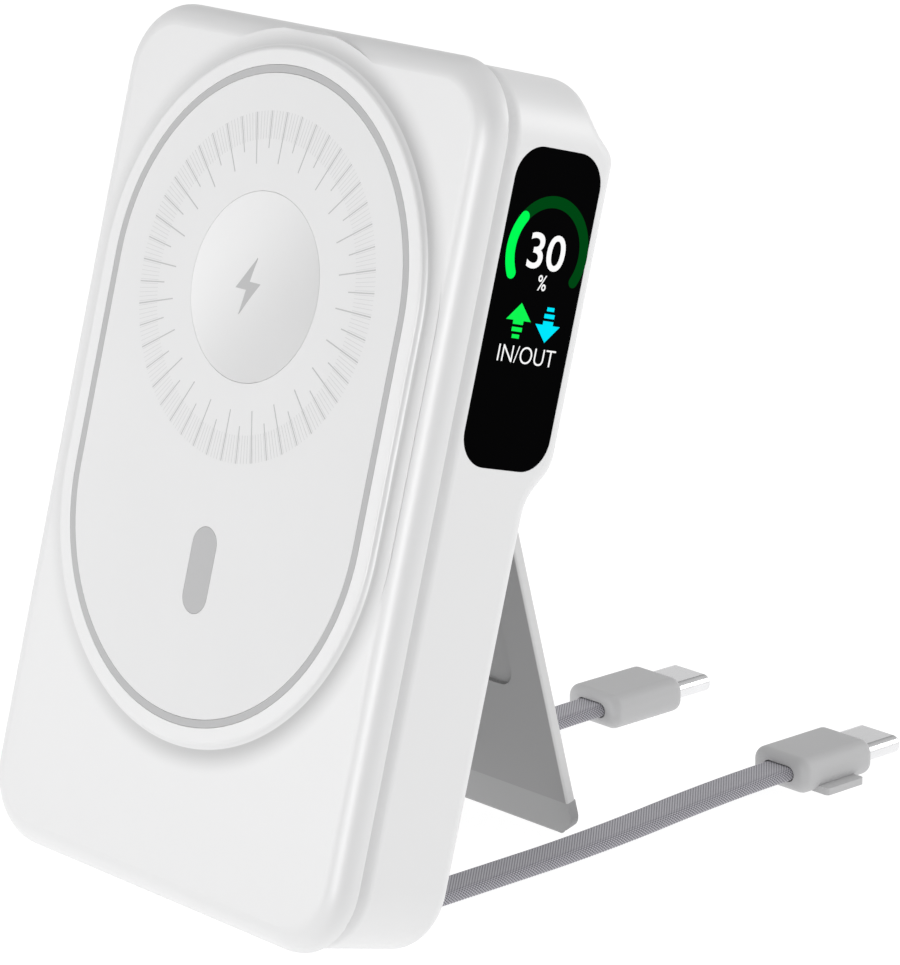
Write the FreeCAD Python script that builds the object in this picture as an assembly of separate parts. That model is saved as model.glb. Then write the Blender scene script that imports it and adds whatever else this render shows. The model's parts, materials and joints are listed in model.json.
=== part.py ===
"""Magnetic power bank with a side display, a fold-out leg and two captive flat charging cords.

Everything is drawn in the body's own frame first: X to the right, Y into the depth (0 on the
charging face, growing towards the back), Z up along the body, with the origin at the middle of
the charging pad. Then the whole body is leaned back and stood on the ground, where +Z is up.
Millimetres throughout.
"""
import FreeCAD
import Part
import math
import os

Vector = FreeCAD.Vector

# ---- how it stands -------------------------------------------------------------------------
LEAN_DEG = 15.5            # body tilted back from upright
LEG_OPEN_DEG = 30.0        # leg swung out from the back

# ---- body outline --------------------------------------------------------------------------
COVER_HALF_WIDTH = 35.85
COVER_TOP = 48.1
COVER_BOTTOM = -65.7
COVER_CORNER = 10.0
COVER_FRONT = 1.0          # depth of the frame plane around the raised pad
COVER_BACK = 4.6           # parting line with the rear shell
COVER_EDGE = 3.2           # rounding of the front rim
COVER_BACK_EDGE = 0.3      # rounding at the parting line
WALL = 1.6
SHELL_INSET = 0.6          # rear shell sits inside the cover's outline
SHELL_FRONT = COVER_BACK + 0.1
SHELL_BACK = 21.2
SHELL_EDGE = 2.2
GROOVE_DEPTH = 0.8         # soft groove round the shell, just behind the parting line
GROOVE_FLOOR = 5.2
GROOVE_END = 7.3
BULGE_BACK = 24.7          # raised upper part of the back
BULGE_FLANKS = ((-7.0, 1.5), (38.0, 43.5))

# ---- charging face -------------------------------------------------------------------------
ARC_CENTRE = 14.2          # half the straight side of the stadium
RING_RADIUS = 28.0         # 56 mm magnetic ring
RING_WIDTH = 1.0
PLATEAU_RIM = ((30.4, 0.0), (30.72, 0.0), (30.85, 0.26))           # radius and depth
PLATEAU_COVE = ((30.85, 0.26), (31.05, 0.66), (31.7, COVER_FRONT), (33.4, COVER_FRONT))
PAD_THICKNESS = 1.4
INLAY_GAP = 0.05
DOME_RADIUS = 12.3
DOME_HEIGHT = 1.1
DOME_SEAT = 0.9
BOLT_HEIGHT = 7.5
MARK_WIDTH = 4.7
MARK_LENGTH = 11.3
MARK_CENTRE = -22.75

# ---- display on the right side -------------------------------------------------------------
WINDOW_DEPTHS = (7.4, 22.3)
WINDOW_HEIGHTS = (-1.3, 39.0)
WINDOW_CORNER = 4.3
WINDOW_THICKNESS = 1.2

# ---- leg and hinge -------------------------------------------------------------------------
HINGE_DEPTH = 22.9
HINGE_HEIGHT = 18.0
LEG_HALF_WIDTH = 14.5
LEG_THICKNESS = 1.5
LEG_EDGE = 0.3             # rounding of its long edges
LEG_GAP = 0.5              # between the leg and the sides of its channel
BARREL_RADIUS = 1.5
BARREL_HALF = 10.0
PIN_RADIUS = 0.75
PIN_CLEARANCE = 0.05
FOOT_LENGTH = 5.0
RECESS_HALF_WIDTH = 8.5    # shallow recess in the leg's inner face
RECESS_DEPTH = 0.55
RECESS_ENDS = (16.5, 22.0)  # above the foot pad, and below the leg's shoulder

# ---- cords and plugs -----------------------------------------------------------------------
CORD_WIDTH = 5.6
CORD_THICKNESS = 2.0
CORD_OFFSET = 19.0         # each cord's distance from the middle
CORD_EXIT_HEIGHT = -61.0   # on the back, in the body's frame
PLUG_WIDTH = 10.6
PLUG_HEIGHT = 5.2
PLUG_LENGTH = 14.0
PLUG_START = 80.2          # behind the line that the body stands on
PLUG_CORNER = 2.0          # rounding along the plug
PLUG_END = 1.3             # rounding of its two ends
TUNNEL_DEPTH = 1.6         # how far the cord goes into its plug
TUNNEL_PLAY = 0.14         # round the cord where it goes in
TIP_WIDTH = 8.34           # the standard small reversible plug
TIP_HEIGHT = 2.56
TIP_LENGTH = 6.65
TIP_WALL = 0.3

LEAN = math.radians(LEAN_DEG)
SHELL_HALF_WIDTH = COVER_HALF_WIDTH - SHELL_INSET
SHELL_TOP = COVER_TOP - SHELL_INSET
SHELL_BOTTOM = COVER_BOTTOM + SHELL_INSET
SHELL_CORNER = COVER_CORNER - SHELL_INSET
INNER_BACK = SHELL_BACK - WALL


# ---- basic shapes --------------------------------------------------------------------------
def block(x, y, z):
    """A box from three (low, high) pairs."""
    return Part.makeBox(x[1] - x[0], y[1] - y[0], z[1] - z[0], Vector(x[0], y[0], z[0]))


def rounded(shape, radius, wanted):
    """The shape with every edge that `wanted` accepts rounded."""
    return shape.makeFillet(radius, [edge for edge in shape.Edges if wanted(edge)])


def runs_along(direction):
    """A test for straight edges along a direction."""
    def test(edge):
        if not isinstance(edge.Curve, Part.Line):
            return False
        return abs(abs(edge.tangentAt(edge.FirstParameter).dot(direction)) - 1.0) < 1e-6
    return test


def lies_at_depth(depth):
    """A test for edges that lie whole in the plane Y = depth."""
    return lambda edge: abs(edge.BoundBox.YMin - depth) < 1e-4 and abs(edge.BoundBox.YMax - depth) < 1e-4


def tablet(x, y, z, corner, direction):
    """A box whose four edges along one direction are rounded."""
    return rounded(block(x, y, z), corner, runs_along(direction))


def rod(start, direction, length, radius):
    return Part.makeCylinder(radius, length, start, direction)


def prism(points, travel):
    """Straight-sided outline through the points, pushed along the travel vector."""
    return Part.Face(Part.makePolygon(points + points[:1])).extrude(travel)


def joined(shapes):
    whole = shapes[0].multiFuse(shapes[1:])
    return whole.removeSplitter()


def stadium(radius, y):
    """The pad's outline grown to a radius, as a plate between two depths."""
    top = Vector(0, y[0], ARC_CENTRE)
    ends = [Vector(side * radius, y[0], half) for side, half in
            ((1, ARC_CENTRE), (-1, ARC_CENTRE), (-1, -ARC_CENTRE), (1, -ARC_CENTRE))]
    crown = top + Vector(0, 0, radius)
    keel = Vector(0, y[0], -ARC_CENTRE - radius)
    edges = [Part.Arc(ends[0], crown, ends[1]).toShape(), Part.makeLine(ends[1], ends[2]),
             Part.Arc(ends[2], keel, ends[3]).toShape(), Part.makeLine(ends[3], ends[0])]
    return Part.Face(Part.Wire(edges)).extrude(Vector(0, y[1] - y[0], 0))


def smooth_curve(poles):
    """A smooth curve from the first pole to the last, drawn towards those between."""
    curve = Part.BezierCurve()
    curve.setPoles(poles)
    return curve.toShape()


def flank(start, end, along):
    """An S-curve between two points, level with the `along` direction at both ends."""
    reach = along * ((end - start).dot(along) / 2)
    return smooth_curve([start, start + reach, end - reach, end])


def body_slab(inset, y):
    """The body's outline, inset from the front cover's, between two depths."""
    return tablet((-COVER_HALF_WIDTH + inset, COVER_HALF_WIDTH - inset), y,
                  (COVER_BOTTOM + inset, COVER_TOP - inset), COVER_CORNER - inset, Vector(0, 1, 0))


# ---- front cover and charging face ---------------------------------------------------------
def raised_pad_land():
    """The plateau that carries the pad: flat on top, with a small rounded rim above a soft cove."""
    bottom_depth = COVER_FRONT + 1.0
    axis = Vector(0, 1, 0)
    rim = [Vector(radius, depth, 0) for radius, depth in PLATEAU_RIM]
    cove = [Vector(radius, depth, 0) for radius, depth in PLATEAU_COVE]
    foot = Vector(cove[-1].x, bottom_depth, 0)
    middle = Vector(0, bottom_depth, 0)
    half = [Part.makeLine(Vector(0, 0, 0), rim[0]), smooth_curve(rim), smooth_curve(cove),
            Part.makeLine(cove[-1], foot), Part.makeLine(foot, middle),
            Part.makeLine(middle, Vector(0, 0, 0))]
    profile = Part.Face(Part.Wire(half))
    lifted = profile.translated(Vector(0, 0, ARC_CENTRE))
    lowered = profile.translated(Vector(0, 0, -ARC_CENTRE))
    upper = lifted.revolve(Vector(0, 0, ARC_CENTRE), -axis, 180)
    lower = lowered.revolve(Vector(0, 0, -ARC_CENTRE), axis, 180)
    right = lowered.extrude(Vector(0, 0, 2 * ARC_CENTRE))
    left = right.mirror(Vector(0, 0, 0), Vector(1, 0, 0))
    return joined([upper, lower, right, left])


def front_cover():
    rim = rounded(body_slab(0, (COVER_FRONT, COVER_BACK)), COVER_EDGE, lies_at_depth(COVER_FRONT))
    rim = rounded(rim, COVER_BACK_EDGE, lies_at_depth(COVER_BACK))
    forward = rounded(body_slab(0, (0, COVER_BACK)), COVER_EDGE, lies_at_depth(0))
    land = raised_pad_land().common(forward)
    cover = joined([rim, land])
    cover = cover.cut(stadium(RING_RADIUS + RING_WIDTH / 2 + INLAY_GAP, (-1, PAD_THICKNESS)))
    hollow = body_slab(WALL, (COVER_FRONT + WALL, COVER_BACK + 1))
    return cover.cut(hollow)


def pad_ring_inlay():
    outer = stadium(RING_RADIUS + RING_WIDTH / 2, (0, PAD_THICKNESS))
    return outer.cut(stadium(RING_RADIUS - RING_WIDTH / 2, (-1, PAD_THICKNESS + 1)))


def alignment_mark_at(grow, y):
    half = MARK_WIDTH / 2 + grow
    reach = MARK_LENGTH / 2 + grow
    return tablet((-half, half), y, (MARK_CENTRE - reach, MARK_CENTRE + reach), half - 0.001,
                  Vector(0, 1, 0))


def charging_pad():
    pad = stadium(RING_RADIUS - RING_WIDTH / 2 - INLAY_GAP, (0, PAD_THICKNESS))
    seat = rod(Vector(0, -1, ARC_CENTRE), Vector(0, 1, 0), 1 + DOME_SEAT, DOME_RADIUS + INLAY_GAP)
    return pad.cut(seat).cut(alignment_mark_at(INLAY_GAP, (-1, 0.6)))


def bolt_at(y):
    """A plain lightning symbol, as a prism between two depths."""
    unit = BOLT_HEIGHT / 10
    corners = ((1.1, 5.0), (-3.1, -0.7), (-0.3, -0.7), (-1.1, -5.0), (3.1, 0.8), (0.3, 0.8))
    points = [Vector(x * unit, y[0], ARC_CENTRE + z * unit) for x, z in corners]
    return prism(points, Vector(0, y[1] - y[0], 0))


def dome_cap():
    sphere_radius = (DOME_RADIUS ** 2 + DOME_HEIGHT ** 2) / (2 * DOME_HEIGHT)
    sphere = Part.makeSphere(sphere_radius, Vector(0, sphere_radius - DOME_HEIGHT, ARC_CENTRE))
    disc = rod(Vector(0, -DOME_HEIGHT - 1, ARC_CENTRE), Vector(0, 1, 0),
               DOME_HEIGHT + 1 + DOME_SEAT, DOME_RADIUS)
    return disc.common(sphere).cut(bolt_at((-DOME_HEIGHT - 1, -DOME_HEIGHT + 0.4)))


def bolt_inlay():
    return bolt_at((-DOME_HEIGHT + 0.02, -DOME_HEIGHT + 0.4))


def alignment_mark():
    return alignment_mark_at(0, (0, 0.6))


# ---- rear shell ----------------------------------------------------------------------------
def back_profile(inset):
    """The body seen from the side, as a slab across the width: flat back with a raised part."""
    low = SHELL_BOTTOM - 1
    high = SHELL_TOP + 1
    base = SHELL_BACK - inset
    peak = BULGE_BACK - inset
    (foot, lower_top), (upper_top, upper_foot) = BULGE_FLANKS
    side = -COVER_HALF_WIDTH - 1
    up = Vector(0, 0, 1)

    def at(depth, height):
        return Vector(side, depth, height)

    edges = [Part.makeLine(at(0, low), at(base, low)),
             Part.makeLine(at(base, low), at(base, foot)),
             flank(at(base, foot), at(peak, lower_top), up),
             Part.makeLine(at(peak, lower_top), at(peak, upper_top)),
             flank(at(peak, upper_top), at(base, upper_foot), up),
             Part.makeLine(at(base, upper_foot), at(base, high)),
             Part.makeLine(at(base, high), at(0, high)),
             Part.makeLine(at(0, high), at(0, low))]
    return Part.Face(Part.Wire(edges)).extrude(Vector(-2 * side, 0, 0))


def wall_meets_back(edge):
    """A test for the edges where the side walls and the end walls meet the back."""
    box = edge.BoundBox
    if box.YMin < SHELL_BACK - 1e-3 or box.XLength + box.ZLength < 0.5:
        return False
    middle = edge.valueAt((edge.FirstParameter + edge.LastParameter) / 2)
    near_side = abs(abs(middle.x) - SHELL_HALF_WIDTH) < SHELL_CORNER
    crosses = box.XLength > 2 * SHELL_HALF_WIDTH - 1
    near_end = min(abs(middle.z - SHELL_TOP), abs(middle.z - SHELL_BOTTOM)) < 0.1
    return (near_side or near_end) and not crosses


def window_opening(grow, x):
    return tablet(x, (WINDOW_DEPTHS[0] - grow, WINDOW_DEPTHS[1] + grow),
                  (WINDOW_HEIGHTS[0] - grow, WINDOW_HEIGHTS[1] + grow), WINDOW_CORNER + grow,
                  Vector(1, 0, 0))


CHANNEL_HALF = LEG_HALF_WIDTH + LEG_GAP
BRACKET_HALF = 13.2        # the hinge bracket and its pocket in the back
BRACKET_HEIGHTS = (14.6, 23.4)
BRACKET_POCKET = 0.9
SCREW_SPOTS = [(-7.0, 21.7), (7.0, 21.7)]
SCREW_RADIUS = 0.7
BOSS_RADIUS = 2.2
BOARD_DEPTHS = (14.8, 16.0)
BOARD_SCREW_SPOTS = [(-27.0, 13.0), (-27.0, 41.0), (24.0, 41.0)]
BUTTON_HEIGHT = 30.0
BUTTON_DEPTH = 13.0
BUTTON_SIZE = (3.6, 9.0)   # in depth and in height
GROMMET_SIZE = (7.4, 3.4)
GROMMET_CORNER = 1.4


def button_outline(grow, x):
    half_depth = BUTTON_SIZE[0] / 2 + grow
    half_height = BUTTON_SIZE[1] / 2 + grow
    return tablet(x, (BUTTON_DEPTH - half_depth, BUTTON_DEPTH + half_depth),
                  (BUTTON_HEIGHT - half_height, BUTTON_HEIGHT + half_height), half_depth - 0.001,
                  Vector(1, 0, 0))


def grommet_outline(side, grow, y):
    half_width = GROMMET_SIZE[0] / 2 + grow
    half_height = GROMMET_SIZE[1] / 2 + grow
    centre = side * CORD_OFFSET
    return tablet((centre - half_width, centre + half_width), y,
                  (CORD_EXIT_HEIGHT - half_height, CORD_EXIT_HEIGHT + half_height), GROMMET_CORNER + grow,
                  Vector(0, 1, 0))


def parting_groove():
    """What the soft groove behind the parting line takes away, as a ring round the body."""
    outer_x = SHELL_HALF_WIDTH + 1.5
    floor_x = SHELL_HALF_WIDTH - GROOVE_DEPTH
    start = SHELL_FRONT - 0.5
    shoulder = flank(Vector(floor_x, GROOVE_FLOOR, 0), Vector(SHELL_HALF_WIDTH, GROOVE_END, 0),
                     Vector(0, 1, 0))
    section = Part.Wire([Part.makeLine(Vector(outer_x, start, 0), Vector(floor_x, start, 0)),
                         Part.makeLine(Vector(floor_x, start, 0), Vector(floor_x, GROOVE_FLOOR, 0)),
                         shoulder,
                         Part.makeLine(Vector(SHELL_HALF_WIDTH, GROOVE_END, 0),
                                       Vector(outer_x, GROOVE_END, 0)),
                         Part.makeLine(Vector(outer_x, GROOVE_END, 0), Vector(outer_x, start, 0))])
    outline = body_slab(SHELL_INSET, (start, start + 1))
    ring = next(face for face in outline.Faces if lies_at_depth(start)(face)).OuterWire
    return ring.makePipeShell([section], True, False)


def rear_shell():
    outer = body_slab(SHELL_INSET, (SHELL_FRONT, BULGE_BACK + 1)).common(back_profile(0))
    outer = rounded(outer, SHELL_EDGE, wall_meets_back)
    channel = block((-CHANNEL_HALF, CHANNEL_HALF), (SHELL_BACK, BULGE_BACK + 1),
                    (BULGE_FLANKS[0][0] - 1, BRACKET_HEIGHTS[1] + LEG_GAP))
    hollow = body_slab(SHELL_INSET + WALL, (SHELL_FRONT - 1, BULGE_BACK)).common(back_profile(WALL))
    under_channel = block((-CHANNEL_HALF - WALL, CHANNEL_HALF + WALL), (INNER_BACK, BULGE_BACK),
                          (SHELL_BOTTOM, BRACKET_HEIGHTS[1] + LEG_GAP + WALL))
    hollow = hollow.cut(under_channel)
    pocket = block((-BRACKET_HALF, BRACKET_HALF), (SHELL_BACK - BRACKET_POCKET, SHELL_BACK + 1),
                   BRACKET_HEIGHTS)
    shell = outer.cut(parting_groove()).cut(channel).cut(hollow).cut(pocket)
    bosses = [rod(Vector(x, INNER_BACK - 2.0, z), Vector(0, 1, 0), 2.2, BOSS_RADIUS)
              for x, z in SCREW_SPOTS]
    posts = [rod(Vector(x, BOARD_DEPTHS[1], z), Vector(0, 1, 0), INNER_BACK - BOARD_DEPTHS[1] + 0.2,
                 BOSS_RADIUS) for x, z in BOARD_SCREW_SPOTS]
    shell = joined([shell] + bosses + posts)
    for x, z in SCREW_SPOTS:
        shell = shell.cut(rod(Vector(x, INNER_BACK - 1.6, z), Vector(0, 1, 0), 4, SCREW_RADIUS))
    for x, z in BOARD_SCREW_SPOTS:
        shell = shell.cut(rod(Vector(x, BOARD_DEPTHS[1] - 1, z), Vector(0, 1, 0), 4, SCREW_RADIUS))
    shell = shell.cut(window_opening(INLAY_GAP, (SHELL_HALF_WIDTH - 3, SHELL_HALF_WIDTH + 1)))
    shell = shell.cut(button_outline(0.1, (-SHELL_HALF_WIDTH - 1, -SHELL_HALF_WIDTH + 3)))
    for side in (-1, 1):
        shell = shell.cut(grommet_outline(side, 0.02, (INNER_BACK - 1, SHELL_BACK + 1)))
    return shell


# ---- display -------------------------------------------------------------------------------
def display_window():
    return window_opening(0, (SHELL_HALF_WIDTH - WINDOW_THICKNESS, SHELL_HALF_WIDTH - 0.02))


def display_panel():
    back = SHELL_HALF_WIDTH - WINDOW_THICKNESS - 0.05
    return tablet((back - 1.4, back), (WINDOW_DEPTHS[0] + 1.2, 19.2),
                  (WINDOW_HEIGHTS[0] + 1.5, 36.0), 0.5, Vector(1, 0, 0))


def display_board():
    front = SHELL_HALF_WIDTH - WINDOW_THICKNESS - 1.5
    return block((front - 0.8, front), (WINDOW_DEPTHS[0] + 1.2, 19.0), (WINDOW_HEIGHTS[0], 36.0))


# ---- inside --------------------------------------------------------------------------------
COIL_DEPTHS = (2.7, 3.7)
MAGNET_DEPTHS = (2.7, 4.3)
MAGNET_RADII = (23.0, 27.0)
MAGNET_COUNT = 18


def charging_coil():
    axis = Vector(0, 1, 0)
    start = Vector(0, COIL_DEPTHS[0], ARC_CENTRE)
    thickness = COIL_DEPTHS[1] - COIL_DEPTHS[0]
    return rod(start, axis, thickness, 21.5).cut(rod(start, axis, thickness, 10.5))


def ferrite_sheet():
    return rod(Vector(0, COIL_DEPTHS[1] + 0.05, ARC_CENTRE), Vector(0, 1, 0), 0.6, 22.3)


def magnet_ring():
    """Curved magnets in a circle, with the place at the bottom left free for the coil's leads."""
    inner, outer = MAGNET_RADII
    step = 360 / MAGNET_COUNT
    axis = Vector(0, -1, 0)
    start = Vector(0, MAGNET_DEPTHS[1], ARC_CENTRE)
    thickness = MAGNET_DEPTHS[1] - MAGNET_DEPTHS[0]
    magnets = []
    for index in range(MAGNET_COUNT - 1):
        wedge = Part.makeCylinder(outer, thickness, start, axis, step - 1.2)
        wedge = wedge.cut(Part.makeCylinder(inner, thickness, start, axis, 360))
        wedge.rotate(start, axis, 90 + step * (index + 1))
        magnets.append(wedge)
    return Part.makeCompound(magnets)


def alignment_magnet():
    return block((-2.5, 2.5), MAGNET_DEPTHS, (MARK_CENTRE - 5.5, MARK_CENTRE + 5.5))


CELL_DEPTHS = (5.2, 18.9)
CELL_HEIGHTS = (-56.0, 9.0)


def battery_cell():
    return rounded(block((-31, 31), CELL_DEPTHS, CELL_HEIGHTS), 2.0, runs_along(Vector(0, 0, 1)))


def battery_foam():
    return block((-28, 28), (4.5, CELL_DEPTHS[0] - 0.05), (-54, 7))


def battery_tape():
    return block((-28, 28), (CELL_DEPTHS[1] + 0.02, INNER_BACK - 0.05), (-54, 7))


def main_board():
    board = block((-30.5, 27.5), BOARD_DEPTHS, (10.0, 44.0))
    for x, z in BOARD_SCREW_SPOTS:
        board = board.cut(rod(Vector(x, BOARD_DEPTHS[0] - 1, z), Vector(0, 1, 0), 4, 0.85))
    return board


def chip(x, z, size, height):
    """A flat component soldered to the front of the main board."""
    front = BOARD_DEPTHS[0]
    return block((x - size[0] / 2, x + size[0] / 2), (front - height, front - 0.01),
                 (z - size[1] / 2, z + size[1] / 2))


def charge_chips():
    return Part.makeCompound([chip(-8, 30, (7, 7), 0.9), chip(8, 24, (5, 5), 0.9),
                              chip(18, 34, (4, 6), 1.1), chip(-20, 20, (5, 4), 0.9)])


def power_inductors():
    return Part.makeCompound([chip(-20, 33, (7, 7), 3.0), chip(18, 18, (6.6, 6.6), 3.0)])


def board_capacitors():
    return Part.makeCompound([chip(-3 + 3.0 * step, 38, (1.6, 3.2), 1.6) for step in range(5)])


def countersunk_screw(x, z, seat, tip):
    """A pan-head screw along Y: its head stands on the seat, its shank ends at the tip."""
    towards = 1 if seat > tip else -1
    head = rod(Vector(x, seat, z), Vector(0, towards, 0), 0.6, 1.25)
    slot = block((x - 0.9, x + 0.9), sorted((seat + towards * 0.35, seat + towards)), (z - 0.15, z + 0.15))
    shank = rod(Vector(x, seat, z), Vector(0, -towards, 0), abs(seat - tip), SCREW_RADIUS - 0.02)
    return joined([head, shank]).cut(slot)


def board_screws():
    return Part.makeCompound([countersunk_screw(x, z, BOARD_DEPTHS[0] - 0.01, BOARD_DEPTHS[1] + 2.4)
                              for x, z in BOARD_SCREW_SPOTS])


def power_button():
    cap = button_outline(0, (-COVER_HALF_WIDTH + 0.05, -SHELL_HALF_WIDTH + WALL + 0.2))
    flange = button_outline(0.8, (-SHELL_HALF_WIDTH + WALL + 0.15, -SHELL_HALF_WIDTH + WALL + 0.9))
    stem = rod(Vector(-SHELL_HALF_WIDTH + WALL + 0.8, BUTTON_DEPTH, BUTTON_HEIGHT), Vector(1, 0, 0),
               0.7, 0.9)
    return joined([cap, flange, stem])


def button_switch():
    face = -SHELL_HALF_WIDTH + WALL + 1.5 + 0.5
    body = block((face, face + 1.6), (BUTTON_DEPTH - 1.75, BUTTON_DEPTH + 1.75),
                 (BUTTON_HEIGHT - 1.75, BUTTON_HEIGHT + 1.75))
    return body


# ---- leg and hinge -------------------------------------------------------------------------
def placed():
    """The movement that leans the body back and stands it on the ground, centred."""
    tilt = FreeCAD.Rotation(Vector(1, 0, 0), -LEAN_DEG)
    edge_centre = tilt.multVec(Vector(0, SHELL_BACK - SHELL_EDGE, SHELL_BOTTOM + SHELL_EDGE))
    ground = edge_centre.z - SHELL_EDGE
    return FreeCAD.Placement(Vector(0, -edge_centre.y, -ground), tilt)


STANDING = placed()
HINGE = Vector(0, HINGE_DEPTH, HINGE_HEIGHT)
LEG_LENGTH = ((STANDING.multVec(HINGE).z - LEG_THICKNESS / 2)
              / math.cos(math.radians(LEG_OPEN_DEG) - LEAN))


def opened(shape):
    """Swing a leg piece from folded flat to its standing place."""
    return shape.rotated(HINGE, Vector(1, 0, 0), LEG_OPEN_DEG)


def leg_plate(z, half_width):
    low = HINGE_DEPTH - LEG_THICKNESS / 2
    return block((-half_width, half_width), (low, low + LEG_THICKNESS), z)


def kickstand_leg():
    shoulder = HINGE_HEIGHT - BARREL_RADIUS - 1.5
    end = HINGE_HEIGHT - LEG_LENGTH + FOOT_LENGTH
    plate = rounded(leg_plate((end - 5, shoulder), LEG_HALF_WIDTH), 3.0,
                    lambda e: runs_along(Vector(0, 1, 0))(e) and e.CenterOfMass.z > shoulder - 1)
    plate = plate.cut(leg_plate((end - 9, end), LEG_HALF_WIDTH + 1))
    neck = leg_plate((shoulder - 4, HINGE_HEIGHT), BARREL_HALF)
    barrel = rod(HINGE - Vector(BARREL_HALF, 0, 0), Vector(1, 0, 0), 2 * BARREL_HALF, BARREL_RADIUS)
    bore = rod(HINGE - Vector(BARREL_HALF + 1, 0, 0), Vector(1, 0, 0), 2 * BARREL_HALF + 2,
               PIN_RADIUS + PIN_CLEARANCE)
    inner_face = HINGE_DEPTH - LEG_THICKNESS / 2
    recess = tablet((-RECESS_HALF_WIDTH, RECESS_HALF_WIDTH), (inner_face - 1, inner_face + RECESS_DEPTH),
                    (end + RECESS_ENDS[0], shoulder - RECESS_ENDS[1]), 3.0, Vector(0, 1, 0))
    plate = rounded(plate, LEG_EDGE, lambda e: runs_along(Vector(0, 0, 1))(e))
    return opened(joined([plate, neck, barrel]).cut(bore).cut(recess))


def kickstand_foot_pad():
    top = HINGE_HEIGHT - LEG_LENGTH + FOOT_LENGTH
    tip = HINGE_HEIGHT - LEG_LENGTH
    strip = leg_plate((tip, top), LEG_HALF_WIDTH)
    strip = rounded(strip, 3.0, lambda e: runs_along(Vector(0, 1, 0))(e) and e.CenterOfMass.z < top - 1)
    nose = rod(Vector(-LEG_HALF_WIDTH, HINGE_DEPTH, tip), Vector(1, 0, 0), 2 * LEG_HALF_WIDTH,
               LEG_THICKNESS / 2)
    keep = block((-LEG_HALF_WIDTH + 3, LEG_HALF_WIDTH - 3), (HINGE_DEPTH - 1, HINGE_DEPTH + 1),
                 (tip - 1, tip + 0.1))
    return opened(joined([strip, nose.common(keep)]))


def hinge_bracket():
    """Bent steel bracket: a base let into the back, and two ears that carry the pin."""
    floor = SHELL_BACK - BRACKET_POCKET
    base = block((-BRACKET_HALF + 0.1, BRACKET_HALF - 0.1), (floor + 0.02, floor + 0.75),
                 (BRACKET_HEIGHTS[0] + 0.1, BRACKET_HEIGHTS[1] - 0.1))
    pieces = [base]
    for side in (-1, 1):
        ear_x = sorted((side * (BARREL_HALF + 0.35), side * (BARREL_HALF + 1.95)))
        pieces.append(block(ear_x, (floor + 0.4, HINGE_DEPTH),
                            (HINGE_HEIGHT - BARREL_RADIUS, HINGE_HEIGHT + BARREL_RADIUS)))
        pieces.append(rod(Vector(ear_x[0], HINGE_DEPTH, HINGE_HEIGHT), Vector(1, 0, 0), 1.6,
                          BARREL_RADIUS))
    bracket = joined(pieces)
    bracket = bracket.cut(rod(HINGE - Vector(20, 0, 0), Vector(1, 0, 0), 40, PIN_RADIUS + 0.01))
    for x, z in SCREW_SPOTS:
        bracket = bracket.cut(rod(Vector(x, floor - 1, z), Vector(0, 1, 0), 4, 0.8))
    return bracket


def hinge_pin():
    half = BARREL_HALF + 2.2
    return rod(HINGE - Vector(half, 0, 0), Vector(1, 0, 0), 2 * half, PIN_RADIUS)


def hinge_washers():
    """Thin spring washers between the ears and the barrel, which hold the leg where it is put."""
    washers = []
    for side in (-1, 1):
        inner_x = sorted((side * (BARREL_HALF + 0.06), side * (BARREL_HALF + 0.30)))
        ring = rod(Vector(inner_x[0], HINGE_DEPTH, HINGE_HEIGHT), Vector(1, 0, 0), 0.24, 1.4)
        washers.append(ring.cut(rod(Vector(inner_x[0] - 1, HINGE_DEPTH, HINGE_HEIGHT),
                                    Vector(1, 0, 0), 3, PIN_RADIUS + 0.02)))
    return Part.makeCompound(washers)


def bracket_screws():
    seat = SHELL_BACK - BRACKET_POCKET + 0.77
    return Part.makeCompound([countersunk_screw(x, z, seat, INNER_BACK - 1.5) for x, z in SCREW_SPOTS])


# ---- cords and plugs, drawn where they lie on the ground -----------------------------------
def cord_exit(side):
    return STANDING.multVec(Vector(side * CORD_OFFSET, SHELL_BACK + 1.0, CORD_EXIT_HEIGHT))


def cord_route(side):
    """Straight out of the back, down to the ground, along it, and up into the plug."""
    start = cord_exit(side)
    x = side * CORD_OFFSET
    bed = CORD_THICKNESS / 2
    fall = (start.z - bed) / math.tan(LEAN)
    return [start, Vector(x, start.y + fall, bed),
            Vector(x, PLUG_START - 35.9, bed),
            Vector(x, PLUG_START - 10.9, PLUG_HEIGHT / 2),
            Vector(x, PLUG_START + TUNNEL_DEPTH, PLUG_HEIGHT / 2)]


def bend_radii(points):
    """Each inner point's arc radius: as large as its two runs allow."""
    radii = []
    for before, here, after in zip(points, points[1:], points[2:]):
        turn = (here - before).getAngle(after - here)
        shorter = min((here - before).Length, (after - here).Length)
        radii.append(0.45 * shorter / math.tan(turn / 2))
    return radii


def smooth_path(points):
    """Straight runs joined by tangent arcs."""
    edges = []
    last = points[0]
    for index, radius in enumerate(bend_radii(points), start=1):
        here = points[index]
        arrive = (here - points[index - 1]).normalize()
        leave = (points[index + 1] - here).normalize()
        half_turn = arrive.getAngle(leave) / 2
        trim = radius * math.tan(half_turn)
        first, final = here - arrive * trim, here + leave * trim
        inward = (leave - arrive).normalize()
        middle = here + inward * (radius / math.cos(half_turn) - radius)
        edges += [Part.makeLine(last, first), Part.Arc(first, middle, final).toShape()]
        last = final
    edges.append(Part.makeLine(last, points[-1]))
    return Part.Wire(edges)


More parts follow.
